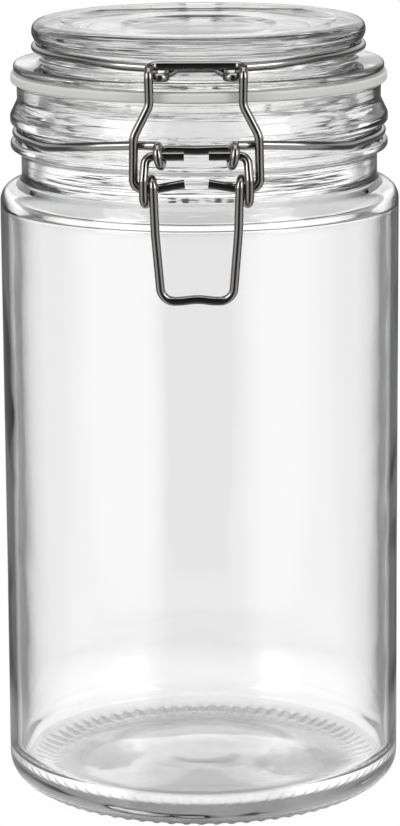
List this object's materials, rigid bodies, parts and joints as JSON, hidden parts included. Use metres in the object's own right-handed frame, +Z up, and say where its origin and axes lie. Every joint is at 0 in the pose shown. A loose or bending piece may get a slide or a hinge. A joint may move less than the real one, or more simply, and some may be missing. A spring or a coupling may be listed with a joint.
{
  "type": "clip-top jar",
  "caption": "Tall clear glass clip-top jar with a hinged glass lid, translucent rubber seal and a sprung wire latch, shut and empty.",
  "frame": {"origin": "centre of the base, on the jar's axis, at the level it stands on", "axes": "+Z up along the jar's axis, -Y towards the wire latch, +Y towards the lid's hinge, +X to the right seen from the latch side"},
  "size_m": [0.1062, 0.115, 0.2069],
  "materials": {
    "clear_glass": "polished",
    "steel_wire": "bright drawn",
    "seal_rubber": "satin"
  },
  "bodies": {
    "jar": {"jar_glass": "clear_glass", "neck_wire": "steel_wire"},
    "lid": {"lid_glass": "clear_glass", "gasket": "seal_rubber", "lid_wire": "steel_wire"},
    "lever": {"lever": "steel_wire"},
    "link": {"link": "steel_wire"}
  },
  "joints": [
    {"name": "lid_swing", "type": "hinge", "parent": "jar", "child": "lid", "pos_m": [0, 0.05445, 0.1858], "axis": [-1, 0, 0], "range_deg": [0, 105]},
    {"name": "lever_swing", "type": "hinge", "parent": "jar", "child": "lever", "pos_m": [0, -0.0534, 0.1782], "axis": [-1, 0, 0], "range_deg": [0, 110]},
    {"name": "link_swing", "type": "hinge", "parent": "lever", "child": "link", "pos_m": [0, -0.0534, 0.17], "axis": [1, 0, 0], "range_deg": [0, 138]}
  ],
  "couplings": [
    {"joint": "link_swing", "follows": "lever_swing", "ratio": 1.25}
  ]
}
